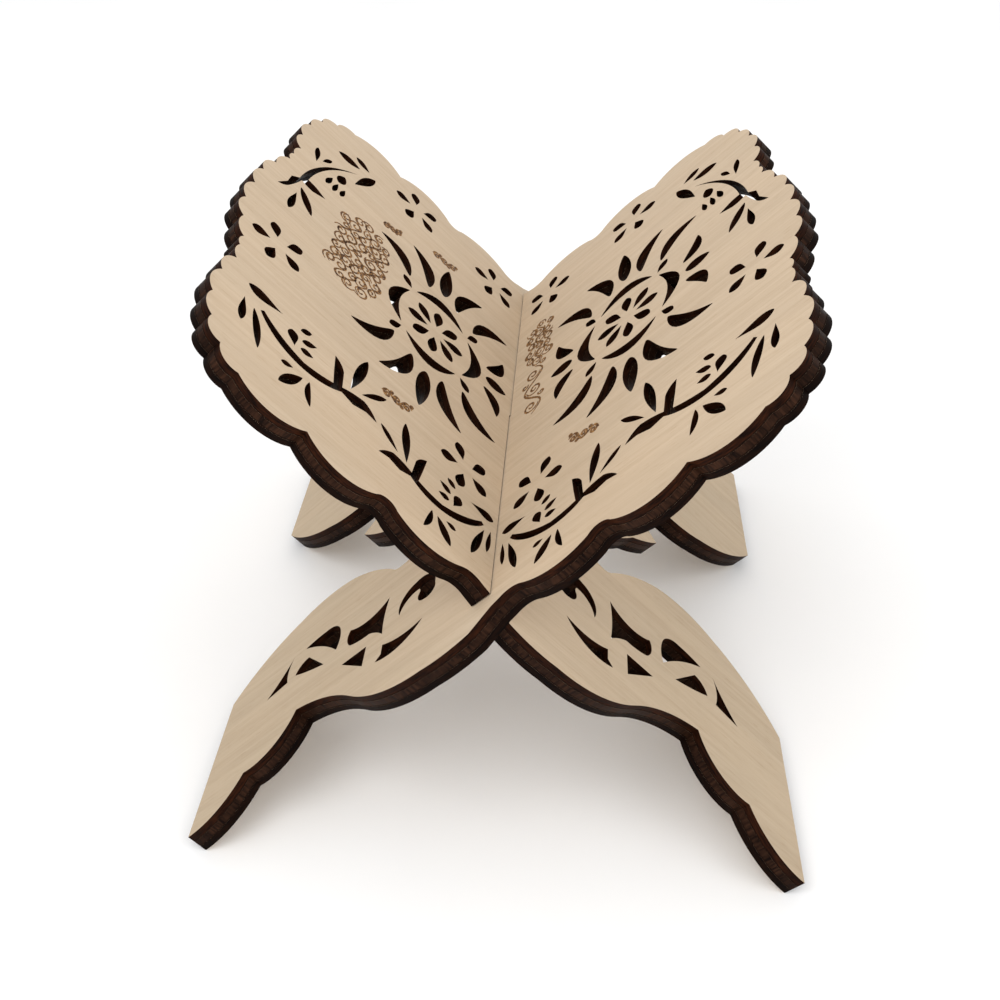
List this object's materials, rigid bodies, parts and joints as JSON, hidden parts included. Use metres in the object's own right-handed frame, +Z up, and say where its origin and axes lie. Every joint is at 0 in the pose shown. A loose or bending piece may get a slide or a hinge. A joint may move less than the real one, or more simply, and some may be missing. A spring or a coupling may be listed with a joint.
{
  "type": "bible stand",
  "caption": "Crossed slotted plywood book stand: two pierced panels lap at a right angle to cradle an open book above splayed legs.",
  "frame": {"origin": "centre of the bounding box at floor level, on the vertical plane through the fold line", "axes": "+X towards the right leaf, +Y from the front of the stand to its back along the fold, +Z up"},
  "size_m": [0.1534, 0.1754, 0.1501],
  "materials": {
    "birch_face": "matt, unfinished",
    "birch_core": "laser-browned edge",
    "birch_back": "matt, unfinished"
  },
  "bodies": {
    "right_panel": {"right_panel_face_ply": "birch_face", "right_panel_core_ply": "birch_core", "right_panel_back_ply": "birch_back"},
    "left_panel": {"left_panel_face_ply": "birch_face", "left_panel_core_ply": "birch_core", "left_panel_back_ply": "birch_back"}
  },
  "joints": [
    {"name": "cross_lap_slide", "type": "slide", "parent": "right_panel", "child": "left_panel", "axis": [0, 1, 0], "range_m": [0, 0.079]}
  ]
}
